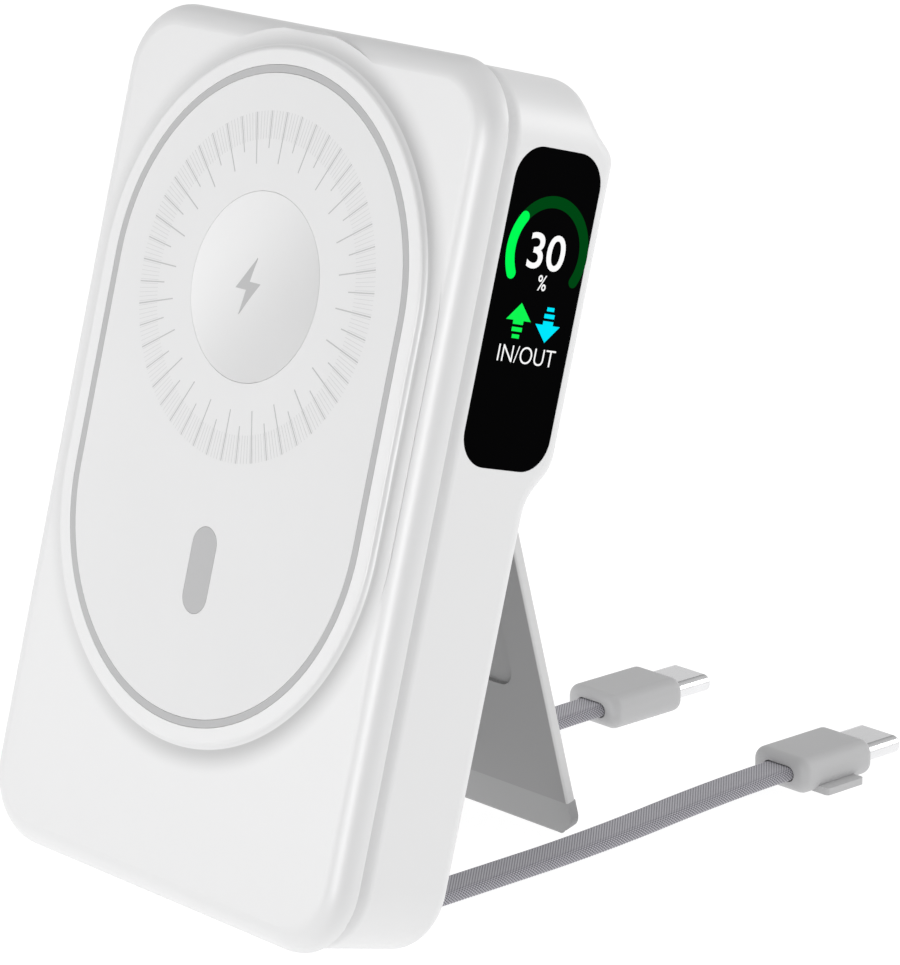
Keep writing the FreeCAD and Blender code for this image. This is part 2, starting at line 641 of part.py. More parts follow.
def cord_section(grow):
    """The flat cord's section in X and Z: two parallel faces and round edges."""
    flat = (CORD_WIDTH - CORD_THICKNESS) / 2
    half = CORD_THICKNESS / 2 + grow
    corners = [Vector(flat, 0, -half), Vector(flat, 0, half), Vector(-flat, 0, half), Vector(-flat, 0, -half)]
    return Part.Wire([Part.Arc(corners[0], Vector(flat + half, 0, 0), corners[1]).toShape(),
                      Part.makeLine(corners[1], corners[2]),
                      Part.Arc(corners[2], Vector(-flat - half, 0, 0), corners[3]).toShape(),
                      Part.makeLine(corners[3], corners[0])])


def cable(side):
    points = cord_route(side)
    path = smooth_path(points)
    section = cord_section(0)
    section.rotate(Vector(0, 0, 0), Vector(1, 0, 0), -LEAN_DEG)
    section.translate(points[0])
    solid = path.makePipeShell([section], True, False)
    expected = Part.Face(cord_section(0)).Area * path.Length
    radii = ", ".join(f"{radius:.0f}" for radius in bend_radii(points))
    print(f"cord {side:+d}: length {path.Length:.1f} mm, bend radii {radii} mm, "
          f"volume {solid.Volume:.1f} of {expected:.1f} mm3")
    return solid


def cable_grommet(side):
    """Rubber sleeve pressed into the back, flared outside, that the cord comes out of."""
    sleeve = grommet_outline(side, 0, (INNER_BACK - 0.8, SHELL_BACK + 1.0))
    collar = grommet_outline(side, 0.5, (INNER_BACK - 0.8, INNER_BACK - 0.05))
    passage = Part.Face(cord_section(0.15)).extrude(Vector(0, 6, 0))
    passage.translate(Vector(side * CORD_OFFSET, INNER_BACK - 2, CORD_EXIT_HEIGHT))
    return joined([sleeve, collar]).cut(passage)


def cable_anchor(side):
    """Clamped inner end of the cord, filling the sleeve up to where the cord leaves."""
    core = Part.Face(cord_section(0)).extrude(Vector(0, 3.6, 0))
    core.translate(Vector(side * CORD_OFFSET, SHELL_BACK + 1.0 - 3.6, CORD_EXIT_HEIGHT))
    return core


def plug_block(x, y, z):
    """An overmoulded block along Y, rounded along its length and at both ends."""
    bar = tablet(x, y, z, PLUG_CORNER, Vector(0, 1, 0))
    return rounded(bar, PLUG_END, lambda edge: lies_at_depth(y[0])(edge) or lies_at_depth(y[1])(edge))


def plug_body(side):
    centre = side * CORD_OFFSET
    span = (PLUG_START, PLUG_START + PLUG_LENGTH)
    half = PLUG_WIDTH / 2
    body = plug_block((centre - half, centre + half), span, (0, PLUG_HEIGHT))
    tunnel = Part.Face(cord_section(TUNNEL_PLAY)).extrude(Vector(0, TUNNEL_DEPTH + 1, 0))
    tunnel.translate(Vector(centre, span[0] - 1, PLUG_HEIGHT / 2))
    socket = tip_outline(centre, 0.0, (span[1] - 1.5, span[1] + 1))
    body = body.cut(tunnel).cut(socket)
    if side > 0:
        body = joined([body, latch_tab(centre + half, span)])
    return body


def latch_tab(edge, span):
    """Small ledge along the foot of one plug, with which it clips into its storage place."""
    ledge = block((edge - 1.8, edge + 1.6), (span[0] + 2.8, span[0] + 10.2), (0.0, 1.0))
    return rounded(ledge, 0.5, lambda e: runs_along(Vector(0, 0, 1))(e) and e.CenterOfMass.x > edge)


def tip_outline(centre, grow, y):
    half_width = TIP_WIDTH / 2 + grow
    half_height = TIP_HEIGHT / 2 + grow
    middle = PLUG_HEIGHT / 2
    return tablet((centre - half_width, centre + half_width), y, (middle - half_height, middle + half_height),
                  half_height - 0.01, Vector(0, 1, 0))


def plug_tip(side):
    centre = side * CORD_OFFSET
    root = PLUG_START + PLUG_LENGTH
    shell = tip_outline(centre, 0, (root - 1.5, root + TIP_LENGTH))
    shell = rounded(shell, 0.25, lies_at_depth(root + TIP_LENGTH))
    return shell.cut(tip_outline(centre, -TIP_WALL, (root - 1.0, root + TIP_LENGTH + 1)))


def plug_tongue(side):
    centre = side * CORD_OFFSET
    root = PLUG_START + PLUG_LENGTH
    middle = PLUG_HEIGHT / 2
    back = tip_outline(centre, -TIP_WALL, (root - 1.0, root + 1.2))
    cheeks = []
    for way in (-1, 1):
        z = sorted((middle + way * 0.42, middle + way * (TIP_HEIGHT / 2 - TIP_WALL)))
        cheeks.append(block((centre - 2.9, centre + 2.9), (root + 1.1, root + TIP_LENGTH - 0.4), z))
    return joined([back] + cheeks)


def plug_contacts(side):
    """Gold contact strips on the faces of the plug's slot."""
    centre = side * CORD_OFFSET
    root = PLUG_START + PLUG_LENGTH
    middle = PLUG_HEIGHT / 2
    strips = []
    for way in (-1, 1):
        z = sorted((middle + way * 0.34, middle + way * 0.42))
        for index in range(12):
            x = centre + (index - 5.5) * 0.5
            strips.append(block((x - 0.13, x + 0.13), (root + 1.6, root + TIP_LENGTH - 0.8), z))
    return Part.makeCompound(strips)


# ---- write every piece ---------------------------------------------------------------------
LEANING = {
    "front_cover": front_cover, "pad_ring_inlay": pad_ring_inlay, "charging_pad": charging_pad,
    "dome_cap": dome_cap, "bolt_inlay": bolt_inlay, "alignment_mark": alignment_mark,
    "rear_shell": rear_shell, "display_window": display_window, "display_panel": display_panel,
    "display_board": display_board, "charging_coil": charging_coil, "ferrite_sheet": ferrite_sheet,
    "magnet_ring": magnet_ring, "alignment_magnet": alignment_magnet, "battery_cell": battery_cell,
    "battery_foam": battery_foam, "battery_tape": battery_tape, "main_board": main_board,
    "charge_chips": charge_chips, "power_inductors": power_inductors,
    "board_capacitors": board_capacitors, "board_screws": board_screws, "power_button": power_button,
    "button_switch": button_switch, "kickstand_leg": kickstand_leg,
    "kickstand_foot_pad": kickstand_foot_pad, "hinge_bracket": hinge_bracket,
    "hinge_pin": hinge_pin, "hinge_washers": hinge_washers, "bracket_screws": bracket_screws,
}
PAIRED_LEANING = {"cable_grommet": cable_grommet, "cable_anchor": cable_anchor}
PAIRED_ON_GROUND = {"cable": cable, "plug_body": plug_body, "plug_tip": plug_tip,
                    "plug_tongue": plug_tongue, "plug_contacts": plug_contacts}
SIDES = {"left": -1, "right": 1}


def all_pieces():
    pieces = {}
    for name, make in LEANING.items():
        pieces[name] = make().transformed(STANDING.toMatrix())
    for side_name, side in SIDES.items():
        for name, make in PAIRED_LEANING.items():
            pieces[f"{name}_{side_name}"] = make(side).transformed(STANDING.toMatrix())
        for name, make in PAIRED_ON_GROUND.items():
            pieces[f"{name}_{side_name}"] = make(side)
    return pieces


def centred(pieces):
    """Move everything so that the origin is under the middle of the body and its leg."""
    corded = ("cable_left", "cable_right", "plug_")
    box = FreeCAD.BoundBox()
    for name, shape in pieces.items():
        if not name.startswith(corded):
            box.add(shape.optimalBoundingBox(False, False))
    shift = Vector(0, -box.Center.y, 0)
    print(f"object without cords: {box.XLength:.2f} x {box.YLength:.2f} x {box.ZLength:.2f} mm, "
          f"lowest {box.ZMin:.3f}, moved {shift.y:.3f}")
    print(f"exit {cord_exit(1) + shift}, hinge {STANDING.multVec(HINGE) + shift}, leg {LEG_LENGTH:.2f}")
    print("route " + ", ".join(f"({p.x:.2f}, {p.y + shift.y:.2f}, {p.z:.2f})" for p in cord_route(1)))
    return {name: shape.translated(shift) for name, shape in pieces.items()}


os.makedirs("parts", exist_ok=True)
for node, solid in centred(all_pieces()).items():
    if not solid.isValid():
        print(f"{node} isn't a valid shape")
    solid.exportStep(f"parts/{node}.step")
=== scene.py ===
"""Looks of a magnetic power bank with a side display, a fold-out leg and two flat braided cords."""
from __future__ import annotations

import json
import logging
import math
from dataclasses import dataclass
from enum import Enum
from functools import cache
from typing import Any, Iterable, Sequence

import bmesh
import bpy
import numpy as np
from mathutils import Matrix, Vector

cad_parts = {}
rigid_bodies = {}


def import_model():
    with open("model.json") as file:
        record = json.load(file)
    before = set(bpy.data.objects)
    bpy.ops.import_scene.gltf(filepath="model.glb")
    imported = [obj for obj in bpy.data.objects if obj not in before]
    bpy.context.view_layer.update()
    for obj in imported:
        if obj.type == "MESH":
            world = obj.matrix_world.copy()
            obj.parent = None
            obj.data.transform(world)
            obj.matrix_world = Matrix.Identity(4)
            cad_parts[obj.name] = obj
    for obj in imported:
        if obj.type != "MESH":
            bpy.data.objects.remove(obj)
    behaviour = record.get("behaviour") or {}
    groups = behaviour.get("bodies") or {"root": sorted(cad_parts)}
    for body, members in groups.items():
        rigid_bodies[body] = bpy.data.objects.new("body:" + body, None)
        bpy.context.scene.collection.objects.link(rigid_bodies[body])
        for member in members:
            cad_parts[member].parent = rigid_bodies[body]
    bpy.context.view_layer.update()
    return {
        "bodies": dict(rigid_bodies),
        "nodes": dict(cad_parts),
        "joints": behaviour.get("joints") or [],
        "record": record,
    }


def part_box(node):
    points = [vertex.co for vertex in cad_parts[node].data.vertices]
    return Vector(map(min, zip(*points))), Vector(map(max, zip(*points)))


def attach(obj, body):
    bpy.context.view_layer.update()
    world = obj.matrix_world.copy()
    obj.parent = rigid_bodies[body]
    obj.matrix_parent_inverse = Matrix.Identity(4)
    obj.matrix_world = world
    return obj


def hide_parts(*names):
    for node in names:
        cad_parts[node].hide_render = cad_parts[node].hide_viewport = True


log = logging.getLogger("power_bank")
MM = 0.001
BANK = "bank"
Colour = tuple[float, float, float]
CLOUDS_PER_METRE = 60.0
GRAIN_GLOSS = 0.08
CLOUD_GLOSS = 0.06
PAD_MOUNT_DROP = 6 * MM
READOUT_PROUD = 0.05


# ---- shader building -----------------------------------------------------------------------
class Signal:
    """A shader socket that takes part in Python arithmetic."""

    def __init__(self, shader: "Shader", socket: bpy.types.NodeSocket) -> None:
        """Wrap a socket of a shader's tree.

        Args:
            shader: the shader that owns the socket.
            socket: the output socket to wrap.
        """
        self.shader = shader
        self.socket = socket

    def _maths(self, operation: str, first: Any, second: Any) -> "Signal":
        """One Math node on two values or signals."""
        return self.shader.node("ShaderNodeMath", {"operation": operation}, {0: first, 1: second})

    def __add__(self, other: Any) -> "Signal":
        """Sum."""
        return self._maths("ADD", self, other)

    def __sub__(self, other: Any) -> "Signal":
        """Difference."""
        return self._maths("SUBTRACT", self, other)

    def __rsub__(self, other: Any) -> "Signal":
        """Difference, reflected."""
        return self._maths("SUBTRACT", other, self)

    def __mul__(self, other: Any) -> "Signal":
        """Product."""
        return self._maths("MULTIPLY", self, other)

    def __pow__(self, other: Any) -> "Signal":
        """Power."""
        return self._maths("POWER", self, other)

    def __abs__(self) -> "Signal":
        """Size without its sign."""
        return self._maths("ABSOLUTE", self, 0.0)

    def at_least(self, floor: float) -> "Signal":
        """The value, or the floor where it is lower."""
        return self._maths("MAXIMUM", self, floor)


class Shader:
    """A material under construction, with one Principled shader."""

    def __init__(self, name: str) -> None:
        """Start an empty material.

        Args:
            name: the material's name.
        """
        self.material = bpy.data.materials.new(name)
        self.material.use_nodes = True
        self.tree = self.material.node_tree
        self.tree.nodes.clear()
        output = self.tree.nodes.new("ShaderNodeOutputMaterial")
        self.principled = self.tree.nodes.new("ShaderNodeBsdfPrincipled")
        self.tree.links.new(self.principled.outputs[0], output.inputs["Surface"])

    def node(self, kind: str, settings: dict[str, Any] | None = None,
             inputs: dict[Any, Any] | None = None, output: Any = 0) -> Signal:
        """Add a node.

        Args:
            kind: the node's type name.
            settings: attributes set before any socket, such as a Math node's operation.
            inputs: values or signals for the input sockets, by name or index.
            output: which output to return.

        Returns:
            The chosen output, ready for arithmetic.
        """
        made = self.tree.nodes.new(kind)
        for name, value in (settings or {}).items():
            if name == "ramp":
                self.set_ramp(made.color_ramp, value)
            else:
                setattr(made, name, value)
        for key, value in (inputs or {}).items():
            self.feed(made.inputs[key], value)
        return Signal(self, made.outputs[output])

    @staticmethod
    def set_ramp(ramp: bpy.types.ColorRamp, stops: Sequence[tuple[float, Colour]]) -> None:
        """Give a colour ramp its stops."""
        while len(ramp.elements) < len(stops):
            ramp.elements.new(1.0)
        for element, (place, colour) in zip(ramp.elements, stops):
            element.position = place
            element.color = (*colour, 1.0)

    def feed(self, socket: bpy.types.NodeSocket, value: Any) -> None:
        """Link a signal to a socket, or set the socket's own value."""
        if isinstance(value, Signal):
            self.tree.links.new(value.socket, socket)
        elif socket.type == "RGBA" and len(value) == 3:
            socket.default_value = (*value, 1.0)
        else:
            socket.default_value = value

    def surface(self, **inputs: Any) -> bpy.types.Material:
        """Set the Principled shader's sockets, with underscores for spaces, and give the material."""
        for name, value in inputs.items():
            self.feed(self.principled.inputs[name.replace("_", " ")], value)
        return self.material

    def place(self) -> Signal:
        """Object coordinates."""
        return self.node("ShaderNodeTexCoord", output="Object")

    def noise(self, scale: float, detail: float = 2.0, stretch: Sequence[float] | None = None) -> Signal:
        """Soft noise over the piece.

        Args:
            scale: features per metre.
            detail: how many finer layers.
            stretch: scale of each axis, for a directional grain.

        Returns:
            The noise, from 0 to 1.
        """
        where = self.place()
        if stretch is not None:
            where = self.node("ShaderNodeMapping", None, {"Vector": where, "Scale": tuple(stretch)})
        return self.node("ShaderNodeTexNoise", None, {"Vector": where, "Scale": scale, "Detail": detail})

    def fade(self, signal: Signal, start: float, end: float) -> Signal:
        """A soft step down, from 1 at the start to 0 at the end."""
        return self.node("ShaderNodeMapRange", {"interpolation_type": "SMOOTHSTEP"},
                         {"Value": signal, "From Min": start, "From Max": end,
                          "To Min": 1.0, "To Max": 0.0})

    def along(self, axis: Sequence[float], origin: Sequence[float]) -> Signal:
        """Distance from a point along an axis, in metres."""
        offset = self.node("ShaderNodeVectorMath", {"operation": "SUBTRACT"},
                           {0: self.place(), 1: tuple(origin)})
        return self.node("ShaderNodeVectorMath", {"operation": "DOT_PRODUCT"}, {0: offset, 1: tuple(axis)},
                         output="Value")

    def ramp(self, signal: Signal, stops: Sequence[tuple[float, Colour]]) -> Signal:
        """A colour that follows a signal through the stops."""
        return self.node("ShaderNodeValToRGB", {"ramp": stops}, {"Fac": signal})

    def mix(self, factor: Any, first: Any, second: Any) -> Signal:
        """A colour between two."""
        return self.node("ShaderNodeMix", {"data_type": "RGBA"}, {"Factor": factor, 6: first, 7: second},
                         output=2)

    def bump(self, height: Signal, depth: float, strength: float = 1.0) -> Signal:
        """A normal from a height.

        Args:
            height: the height signal, from 0 to 1.
            depth: what 1 stands for, in metres.
            strength: how much of it shows.

        Returns:
            The bumped normal.
        """
        return self.node("ShaderNodeBump", None,
                         {"Height": height, "Distance": depth, "Strength": strength})


# ---- finishes ------------------------------------------------------------------------------
@dataclass(frozen=True)
class Moulded:
    """Moulded plastic or rubber with a fine spark-eroded grain."""

    name: str
    colour: Colour
    roughness: float = 0.42
    grain_pitch: float = 0.18 * MM
    grain_depth: float = 0.004 * MM
    variation: float = 0.02
    specular: float = 0.45

    def shaded(self, amount: float) -> Colour:
        """The colour, lighter or darker by a share of itself."""
        return tuple(min(1.0, channel * (1 + amount)) for channel in self.colour)

    def dress(self, shader: Shader, colour: Signal, clouds: Signal,
              duller: Any = 0.0) -> bpy.types.Material:
        """Set every socket of a moulding's shader.

        Args:
            shader: the shader.
            colour: its base colour.
            clouds: slow noise over the piece.
            duller: what is added to the roughness.

        Returns:
            The material.
        """
        grain = shader.noise(1 / self.grain_pitch, 2.0)
        middle = self.roughness - (GRAIN_GLOSS + CLOUD_GLOSS) / 2
        return shader.surface(
            Base_Color=colour,
            Roughness=grain * GRAIN_GLOSS + (clouds * CLOUD_GLOSS + (duller + middle)),
            Normal=shader.bump(grain, self.grain_depth),
            Specular_IOR_Level=self.specular)

    def material(self) -> bpy.types.Material:
        """Build the finish."""
        shader = Shader(self.name)
        clouds = shader.noise(CLOUDS_PER_METRE, 3.0)
        colour = shader.mix(clouds, self.shaded(-self.variation), self.shaded(self.variation))
        return self.dress(shader, colour, clouds)


@dataclass(frozen=True)
class Metal:
    """Plated or brushed metal."""

    name: str
    colour: Colour
    roughness: float = 0.22
    brush: Sequence[float] = (1.0, 1.0, 1.0)
    scratch_depth: float = 0.002 * MM

    def material(self) -> bpy.types.Material:
        """Build the finish."""
        shader = Shader(self.name)
        lines = shader.noise(9000.0, 3.0, self.brush)
        smears = shader.noise(300.0, 3.0)
        tarnished = tuple(channel * 0.88 for channel in self.colour)
        return shader.surface(
            Base_Color=shader.mix(smears, tarnished, self.colour),
            Metallic=1.0,
            Roughness=lines * 0.08 + (smears * 0.08 + (self.roughness - 0.08)),
            Normal=shader.bump(lines, self.scratch_depth))


@dataclass(frozen=True)
class Gloss:
    """Polished dark acrylic over the display."""

    name: str
    colour: Colour
    roughness: float = 0.12
    specular: float = 0.008

    def material(self) -> bpy.types.Material:
        """Build the finish."""
        shader = Shader(self.name)
        haze = shader.noise(180.0, 4.0)
        return shader.surface(
            Base_Color=shader.mix(haze, self.colour, tuple(channel * 1.6 for channel in self.colour)),
            Roughness=haze * 0.04 + (self.roughness - 0.02),
            Specular_IOR_Level=self.specular)


@dataclass(frozen=True)
class Glow:
    """A lit part of the read-out."""

    name: str
    colour: Colour
    strength: float = 1.0

    def material(self) -> bpy.types.Material:
        """Build the finish, with the faint unevenness of a lit panel."""
        shader = Shader(self.name)
        patches = shader.noise(900.0, 1.0)
        dimmer = tuple(channel * 0.96 for channel in self.colour)
        return shader.surface(
            Base_Color=(0.0, 0.0, 0.0),
            Emission_Color=shader.mix(patches, dimmer, self.colour),
            Emission_Strength=self.strength,
            Roughness=0.4,
            Specular_IOR_Level=0.0)


@dataclass(frozen=True)
class Braid:
    """Woven nylon that follows the cord's own height attribute."""

    name: str
    hollow: Colour
    crown: Colour
    attribute: str = "weave"

    def material(self) -> bpy.types.Material:
        """Build the finish."""
        shader = Shader(self.name)
        weave = shader.node("ShaderNodeAttribute", {"attribute_name": self.attribute}, output="Fac")
        fibres = shader.noise(16000.0, 2.0)
        tone = weave * 0.85 + fibres * 0.25 - 0.06
        middle = tuple((low + high) / 2 for low, high in zip(self.hollow, self.crown))
        return shader.surface(
            Base_Color=shader.ramp(tone, [(0.05, self.hollow), (0.45, middle), (0.95, self.crown)]),
            Roughness=0.9 - weave * 0.22,
            Normal=shader.bump(fibres, 0.01 * MM, 0.6),
            Specular_IOR_Level=0.3,
            Sheen_Weight=0.25,
            Sheen_Roughness=0.5)


@dataclass(frozen=True)
class Speckled:
    """Circuit board, ferrite or foil: one colour flecked with another."""

    name: str
    colour: Colour
    fleck: Colour
    fleck_scale: float = 700.0
    roughness: float = 0.45
    metallic: float = 0.0

    def material(self) -> bpy.types.Material:
        """Build the finish."""
        shader = Shader(self.name)
        spots = shader.noise(self.fleck_scale, 3.0)
        return shader.surface(
            Base_Color=shader.ramp(spots, [(0.45, self.colour), (0.62, self.fleck)]),
            Roughness=spots * 0.15 + (self.roughness - 0.07),
            Metallic=self.metallic,
            Normal=shader.bump(spots, 0.02 * MM))


class Finish(Enum):
    """Every finish on the power bank."""

    SHELL = Moulded("shell_white", (0.77, 0.77, 0.773), 0.42, specular=0.9)
    PAD = Moulded("pad_white", (0.765, 0.765, 0.768), 0.48, specular=0.4)
    PRINT = Moulded("print_grey", (0.49, 0.49, 0.495), 0.55, specular=0.3)
    TICK = Moulded("tick_grey", (0.52, 0.52, 0.525), 0.6, specular=0.25)
    FINE_TICK = Moulded("fine_tick_grey", (0.66, 0.66, 0.665), 0.6, specular=0.25)
    LEG = Moulded("leg_grey", (0.66, 0.66, 0.66), 0.46, specular=0.3)
    FOOT = Moulded("foot_grey", (0.36, 0.36, 0.363), 0.62, specular=0.3)
    SOFT = Moulded("soft_grey", (0.46, 0.46, 0.465), 0.62, specular=0.3)
    PLUG = Moulded("plug_grey", (0.50, 0.50, 0.505), 0.50, specular=0.35)
    BLACK = Moulded("moulded_black", (0.018, 0.018, 0.02), 0.5)
    FOAM = Moulded("foam_black", (0.03, 0.03, 0.03), 0.85, 0.5 * MM, 0.05 * MM)
    SCREEN = Gloss("screen_black", (0.0004, 0.0004, 0.0005))
    PANEL = Gloss("display_module", (0.01, 0.012, 0.014), 0.2, 0.5)
    NICKEL = Metal("nickel", (0.86, 0.86, 0.87), 0.2, (1.0, 0.05, 1.0))
    STEEL = Metal("steel", (0.62, 0.62, 0.63), 0.34, (0.06, 1.0, 1.0))
    GOLD = Metal("contact_gold", (0.95, 0.72, 0.32), 0.2, (1.0, 0.05, 1.0))
    MAGNET = Metal("magnet_nickel", (0.7, 0.7, 0.72), 0.3)
    COPPER = Speckled("copper_litz", (0.72, 0.33, 0.16), (0.45, 0.18, 0.08), 1600.0, 0.35, 0.8)
    FERRITE = Speckled("ferrite", (0.05, 0.05, 0.052), (0.09, 0.09, 0.09), 1200.0, 0.6)
    BOARD = Speckled("board_green", (0.012, 0.13, 0.05), (0.02, 0.2, 0.08), 500.0, 0.3)
    FOIL = Speckled("cell_foil", (0.6, 0.61, 0.62), (0.7, 0.7, 0.71), 400.0, 0.32, 0.9)
    CORD = Braid("braided_nylon", (0.03, 0.028, 0.04), (0.66, 0.65, 0.70))
    WHITE_LIGHT = Glow("white_light", (1.0, 1.0, 1.0), 1.0)
    GREEN_LIGHT = Glow("green_light", (0.0, 1.0, 0.09), 1.0)
    DIM_GREEN = Glow("dim_green", (0.0, 0.062, 0.007), 1.0)
    ARROW_GREEN = Glow("arrow_green", (0.005, 0.95, 0.085), 1.0)
    ARROW_CYAN = Glow("arrow_cyan", (0.0, 0.82, 1.0), 1.0)

    @cache
    def material(self) -> bpy.types.Material:
        """The finish's material, built once."""
        return self.value.material()


# ---- mesh helpers --------------------------------------------------------------------------
@dataclass(frozen=True)
class BodyFrame:
    """Where the leaning body stands: origin in the middle of the charging face."""

    origin: Vector
    back: Vector
    up: Vector

    @classmethod
    def from_record(cls, record: dict[str, Any]) -> "BodyFrame":
        """Read the lean from the charging face, whose mount lies a little below the pad's middle."""
        mount = next(m for m in record["mounts"] if m["name"] == "charging_pad_face")
        back = -Vector(mount["axis"]).normalized()
        up = Vector((1, 0, 0)).cross(back)
        return cls(Vector(mount["pos_m"]) + up * PAD_MOUNT_DROP, back, up)

    def matrix(self) -> Matrix:
        """From millimetres on the body (right, depth, up) to metres on the ground."""
        turn = Matrix(((1, 0, 0), self.back, self.up)).transposed()
        return Matrix.Translation(self.origin) @ (turn * MM).to_4x4()

    def side_matrix(self, x: float) -> Matrix:
        """From a drawing seen from the right side (depth, height, outwards) to metres, at X = x mm."""
        drawing = Matrix(((0, 0, 1, x), (1, 0, 0, 0), (0, 1, 0, 0), (0, 0, 0, 1)))
        return self.matrix() @ drawing


@dataclass(frozen=True)
class ShellPaintedShade:
    """The casing's satin white, greyer with painted shade beside the parting line and in the cove round
    the raised land, most at the lower right of the cove.
    """

    frame: BodyFrame
    plain: Moulded
    straight_half: float = 14.2
    cove: tuple[float, float] = (31.3, 34.6)
    front_depths: tuple[float, float] = (1.15, 1.6)
    parting: tuple[float, float] = (5.3, 7.3)
    parting_start: float = 4.65
    cove_edge: float = 0.1
    parting_edge: float = 0.2
    cove_shades: tuple[float, float] = (0.06, 0.34)
    cove_lean: float = 0.4
    cove_reach: tuple[float, float] = (28.0, -31.0)
    parting_shade: float = 0.10

    def material(self) -> bpy.types.Material:
        """Build the finish with its painted shade, in the body's own millimetres."""
        shader = Shader("casing_white_painted_shade")
        right, depth, height = (shader.along(axis, self.frame.origin) * (1 / MM)
                                for axis in ((1, 0, 0), self.frame.back, self.frame.up))
        beyond = (abs(height) - self.straight_half).at_least(0.0)
        radius = (right * right + beyond * beyond) ** 0.5
        cove_start, parting_start = self.cove[0], self.parting_start
        off_land = 1 - shader.fade(radius, cove_start - self.cove_edge, cove_start)
        in_cove = shader.fade(radius, *self.cove) * off_land * shader.fade(depth, *self.front_depths)
        past_seam = 1 - shader.fade(depth, parting_start - self.parting_edge, parting_start)
        by_parting = shader.fade(depth, *self.parting) * past_seam
        least, most = self.cove_shades
        deeper = shader.fade(right - height * self.cove_lean, *self.cove_reach)
        # Painted shade: the base colour is darkened towards black in the cove and beside the parting line,
        # most at the cove's lower right.
        shade = in_cove * (deeper * (most - least) + least) + by_parting * self.parting_shade
        clouds = shader.noise(CLOUDS_PER_METRE, 3.0)
        clouded = shader.mix(clouds, self.plain.shaded(-self.plain.variation), self.plain.colour)
        return self.plain.dress(shader, shader.mix(shade, clouded, (0.0, 0.0, 0.0)), clouds)


@dataclass(frozen=True)
class DomePaintedShade:
    """The dome's white, with painted light and shade: lighter at its upper left, greying evenly to its
    lower right.
    """

    frame: BodyFrame
    plain: Moulded
    centre: float = 14.2
    reach: float = 11.0
    # The painted lit tone at the upper left and the painted shaded tone at the lower right.
    light: Colour = (0.86, 0.86, 0.862)
    dark: Colour = (0.64, 0.64, 0.642)

    def material(self) -> bpy.types.Material:
        """Build the finish."""
        shader = Shader("dome_white_painted_shade")
        right, height = (shader.along(axis, self.frame.origin) * (1 / MM)
                         for axis in ((1, 0, 0), self.frame.up))
        # Painted light and shade: the base colour runs from the lit tone to the shaded tone across the
        # dome.
        slope = (right - (height - self.centre)) * math.sqrt(0.5)
        colour = shader.mix(shader.fade(slope, self.reach, -self.reach), self.light, self.dark)
        return self.plain.dress(shader, colour, shader.noise(CLOUDS_PER_METRE, 3.0))


@dataclass(frozen=True)
class LegPaintedShade:
    """The leg's light grey, with painted shade on the side that faces the body, where it is also a little
    duller.
    """

    frame: BodyFrame
    hinge: Vector
    opening: float
    plain: Moulded
    # The colour of the painted shade on the side that faces the body.
    inlay: Colour = (0.30, 0.30, 0.302)
    painted_shade_depths: tuple[float, float] = (0.8, 1.0)
    painted_shade_halves: tuple[float, float] = (14.1, 14.35)
    painted_shade_duller: float = 0.12

    def inward(self) -> Vector:
        """The direction the leg's inner side faces, as it stands."""
        return -(self.frame.back * math.cos(self.opening) + self.frame.up * math.sin(self.opening))

    def inner_face(self, mesh: bpy.types.Mesh) -> float:
        """How far the largest inner face lies from the hinge, in millimetres."""
        inward = self.inward()
        faces = [face for face in mesh.polygons if face.normal.dot(inward) > 0.999]
        largest = max(faces, key=lambda face: face.area)
        return (largest.center - self.hinge).dot(inward) / MM

    def material(self, mesh: bpy.types.Mesh) -> bpy.types.Material:
        """Build the finish.

        Args:
            mesh: the leg, as it stands.

        Returns:
            The material.
        """
        shader = Shader("leg_grey_painted_shade")
        inward = self.inward()
        # Painted shade: the side that faces the body is darkened in the base colour and made a little
        # duller.
        below = shader.along(-inward, self.hinge + inward * (self.inner_face(mesh) * MM)) * (1 / MM)
        across = abs(shader.along((1, 0, 0), self.frame.origin)) * (1 / MM)
        painted_shaded = shader.fade(below, *self.painted_shade_depths) * shader.fade(across, *self.painted_shade_halves)
        clouds = shader.noise(CLOUDS_PER_METRE, 3.0)
        clouded = shader.mix(clouds, self.plain.shaded(-self.plain.variation), self.plain.colour)
        return self.plain.dress(shader, shader.mix(painted_shaded, clouded, self.inlay), clouds,
                                painted_shaded * self.painted_shade_duller)


def finished_piece(mesh: bpy.types.Mesh, name: str, finish: Finish,
                   body: str = BANK, smooth: bool = True) -> bpy.types.Object:
    """Make a mesh a piece of the object.

    Args:
        mesh: the mesh, in place.
        name: the piece's name.
        finish: what it is made of.
        body: the body it rides on.
        smooth: whether its curved faces shade smoothly.

    Returns:
        The piece.
    """
    mesh.name = name
    mesh.materials.clear()
    mesh.materials.append(finish.material())
    mesh.polygons.foreach_set("use_smooth", [smooth] * len(mesh.polygons))
    piece = bpy.data.objects.new(name, mesh)
    bpy.context.scene.collection.objects.link(piece)
    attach(piece, body)
    log.info("%s: %d faces", name, len(mesh.polygons))
    return piece


